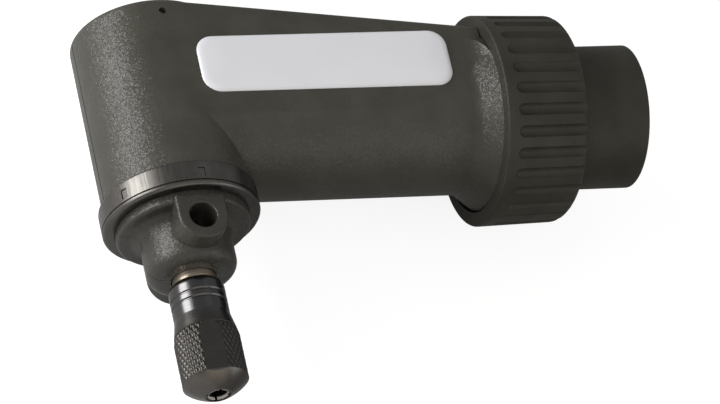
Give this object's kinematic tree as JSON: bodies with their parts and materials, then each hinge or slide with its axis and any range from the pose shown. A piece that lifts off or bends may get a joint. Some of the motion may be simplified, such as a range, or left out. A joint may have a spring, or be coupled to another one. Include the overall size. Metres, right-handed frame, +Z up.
{
  "type": "angle head",
  "caption": "Right-angle head for a hand rotary tool: a coupling nut clamps it to the tool's nose and bevel gears turn a collet spindle at right angles.",
  "frame": {"origin": "centre of the coupling nut's mouth, on the barrel axis", "axes": "+X out of the coupling along the barrel axis, collet pointing to -Y, +Z up out of the name plate's face, lying on its side"},
  "size_m": [0.0943, 0.0677, 0.0352],
  "materials": {
    "black_nylon": "fine moulded grain",
    "white_plate": "glossy domed plate",
    "band_steel": "dark satin steel with fine streaks",
    "black_oxide": "black oxide, knurled",
    "spindle_steel": "turned steel, oiled",
    "bearing_steel": "ground steel",
    "gear_steel": "cut steel",
    "spring_steel": "phosphated spring steel",
    "collet_steel": "bright steel"
  },
  "bodies": {
    "housing": {"housing_front": "black_nylon", "housing_rear": "black_nylon", "head_pin": "spring_steel", "name_plate": "white_plate", "head_band": "band_steel", "nose_cap": "black_nylon", "upper_outer_race": "bearing_steel", "lower_outer_race": "bearing_steel", "outer_spacer": "gear_steel", "bearing_circlip": "spring_steel", "front_outer_race": "bearing_steel", "rear_outer_race": "bearing_steel", "coupling_circlip": "spring_steel"},
    "spindle_drive": {"spindle": "spindle_steel", "bevel_gear": "gear_steel", "gear_pin": "spring_steel", "upper_inner_race": "bearing_steel", "upper_balls": "bearing_steel", "lower_inner_race": "bearing_steel", "lower_balls": "bearing_steel", "inner_spacer": "gear_steel"},
    "input_drive": {"input_shaft": "spindle_steel", "bevel_pinion": "gear_steel", "pinion_pin": "spring_steel", "front_inner_race": "bearing_steel", "front_balls": "bearing_steel", "rear_inner_race": "bearing_steel", "rear_balls": "bearing_steel"},
    "collet": {"collet": "collet_steel"},
    "collet_nut": {"collet_nut": "black_oxide"},
    "coupling_nut": {"coupling_nut": "black_nylon"}
  },
  "joints": [
    {"name": "spindle_spin", "type": "hinge", "parent": "housing", "child": "spindle_drive", "pos_m": [-0.0812, 0, 0], "axis": [0, -1, 0], "continuous": true},
    {"name": "input_spin", "type": "hinge", "parent": "housing", "child": "input_drive", "pos_m": [-0.0812, 0, 0], "axis": [1, 0, 0], "continuous": true},
    {"name": "collet_slide", "type": "slide", "parent": "spindle_drive", "child": "collet", "axis": [0, -1, 0], "range_m": [0, 0.00225]},
    {"name": "nut_turn", "type": "hinge", "parent": "collet", "child": "collet_nut", "pos_m": [-0.0812, 0, 0], "axis": [0, -1, 0], "range_deg": [0, 1080]},
    {"name": "coupling_spin", "type": "hinge", "parent": "housing", "child": "coupling_nut", "pos_m": [0, 0, 0], "axis": [1, 0, 0], "continuous": true}
  ],
  "couplings": [
    {"joint": "input_spin", "follows": "spindle_spin", "ratio": -1},
    {"joint": "nut_turn", "follows": "collet_slide", "rad_per_m": 8377.6}
  ]
}
